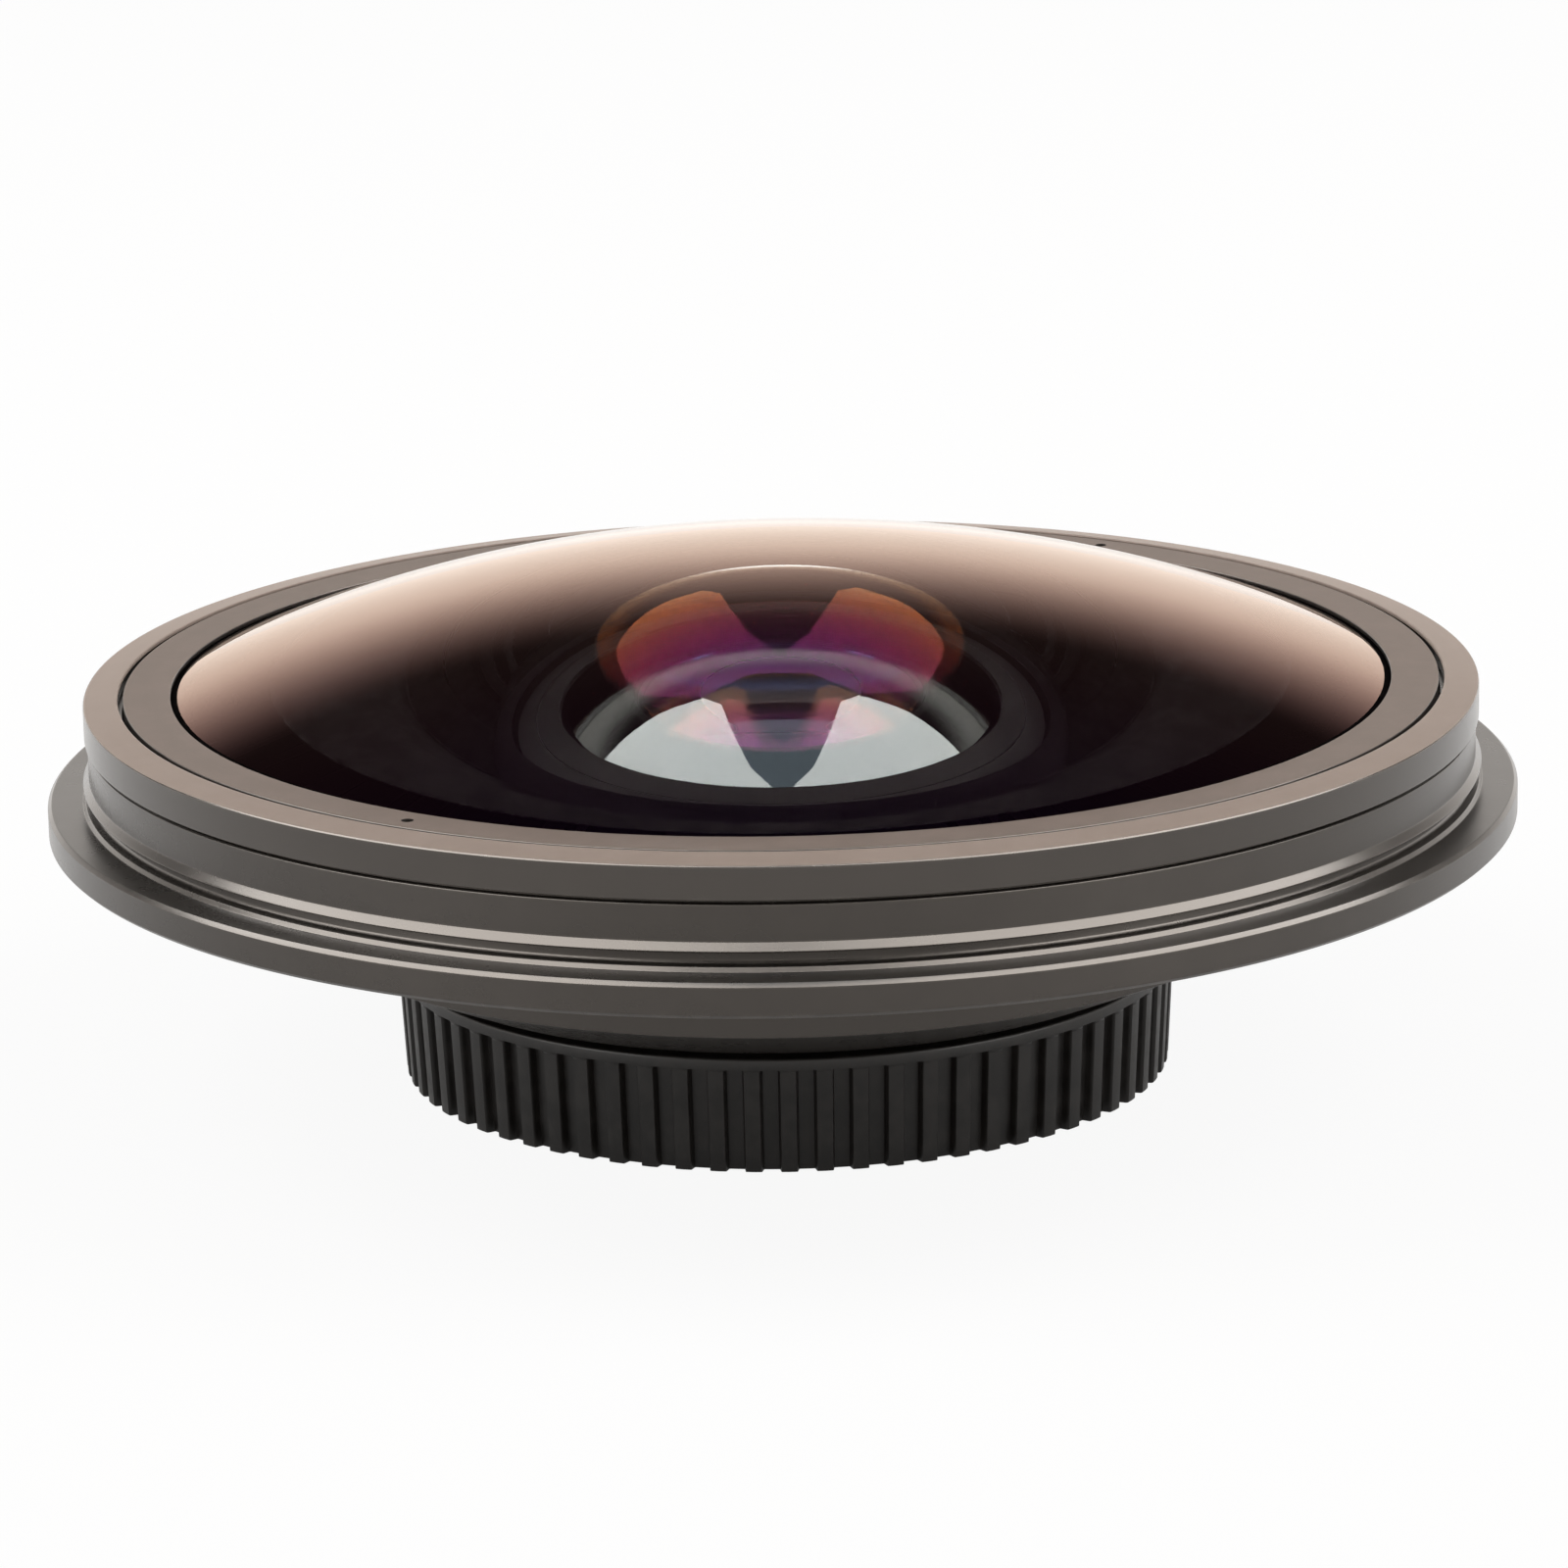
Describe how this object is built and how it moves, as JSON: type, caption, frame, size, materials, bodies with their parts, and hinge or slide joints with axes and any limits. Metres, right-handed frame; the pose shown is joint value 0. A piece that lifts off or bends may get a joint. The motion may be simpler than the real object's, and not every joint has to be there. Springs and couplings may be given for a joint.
{
  "type": "fisheye conversion lens",
  "caption": "Wide fisheye conversion lens with a large domed front glass, a thin brim and a free-turning ribbed collar that carries the rear screw mount.",
  "frame": {"origin": "centre of the circle that the ribbed collar stands on, on the optical axis", "axes": "+Z along the optical axis, out of the front glass; the lens is round about Z, and -Y is the side that the picture faces"},
  "size_m": [0.098, 0.098, 0.0344],
  "materials": {
    "housing_metal": "satin black anodised, warm grey-brown in light",
    "front_ring_metal": "fine-turned black anodised",
    "retaining_ring_metal": "bead-blasted black anodised",
    "front_glass": "polished, multi-coated, ground edge painted black",
    "inner_glass": "polished, multi-coated",
    "rear_glass": "polished, multi-coated",
    "seal_rubber": "soft matt black",
    "barrel_metal": "matt black anodised",
    "baffle_black": "dead matt black",
    "screw_steel": "black oxide",
    "washer_plastic": "waxy off-white",
    "collar_metal": "satin black anodised, cut thread",
    "grip_plastic": "moulded, fine matt grain"
  },
  "bodies": {
    "lens_body": {"main_housing": "housing_metal", "front_ring": "front_ring_metal", "glass_retaining_ring": "retaining_ring_metal", "front_element": "front_glass", "front_seal": "seal_rubber", "optical_barrel": "barrel_metal", "barrel_screws": "screw_steel", "second_element": "inner_glass", "second_retaining_ring": "barrel_metal", "baffle_ring": "baffle_black", "third_element": "inner_glass", "rear_spacer": "baffle_black", "aperture_stop": "baffle_black", "doublet_front": "rear_glass", "doublet_rear": "rear_glass", "rear_retaining_ring": "barrel_metal", "upper_slip_washer": "washer_plastic", "collar_holding_ring": "barrel_metal", "lower_slip_washer": "washer_plastic"},
    "collar": {"mount_collar": "collar_metal", "grip_ring": "grip_plastic"}
  },
  "joints": [
    {"name": "collar_turn", "type": "hinge", "parent": "lens_body", "child": "collar", "pos_m": [0, 0, 0.004], "axis": [0, 0, 1], "continuous": true}
  ]
}
